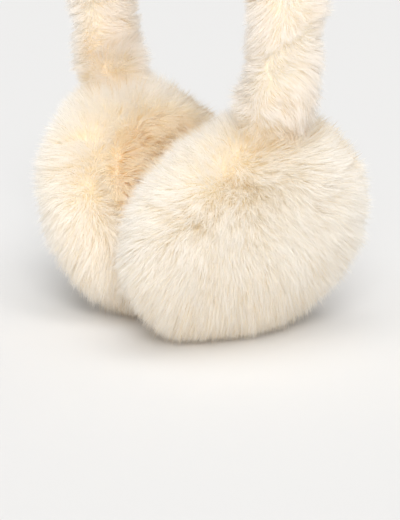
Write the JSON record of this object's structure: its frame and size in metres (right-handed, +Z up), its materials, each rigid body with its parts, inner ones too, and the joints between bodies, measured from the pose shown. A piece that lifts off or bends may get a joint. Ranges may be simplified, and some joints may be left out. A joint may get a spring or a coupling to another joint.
{
  "type": "fur earmuffs",
  "caption": "Fluffy faux-fur earmuffs: a sprung band in a fur sleeve with a deep-fur ear pad and plush ear lining at each end.",
  "frame": {"origin": "middle of the two pads' footprint, on the plane that the pads stand on", "axes": "+Z up through the crown of the band, +X through the pad of the wearer's left ear when the face looks along -Y, -Y to the front"},
  "size_m": [0.1668, 0.1192, 0.2155],
  "materials": {
    "pad_fur": "long cream faux fur, soft and matte",
    "band_fur": "shorter tufted cream faux fur, matte",
    "lining_plush": "short-pile beige plush, matte"
  },
  "bodies": {
    "root": {"headband": "band_fur", "ear_pad_left": "pad_fur", "ear_pad_right": "pad_fur", "ear_lining_left": "lining_plush", "ear_lining_right": "lining_plush"}
  },
  "joints": []
}
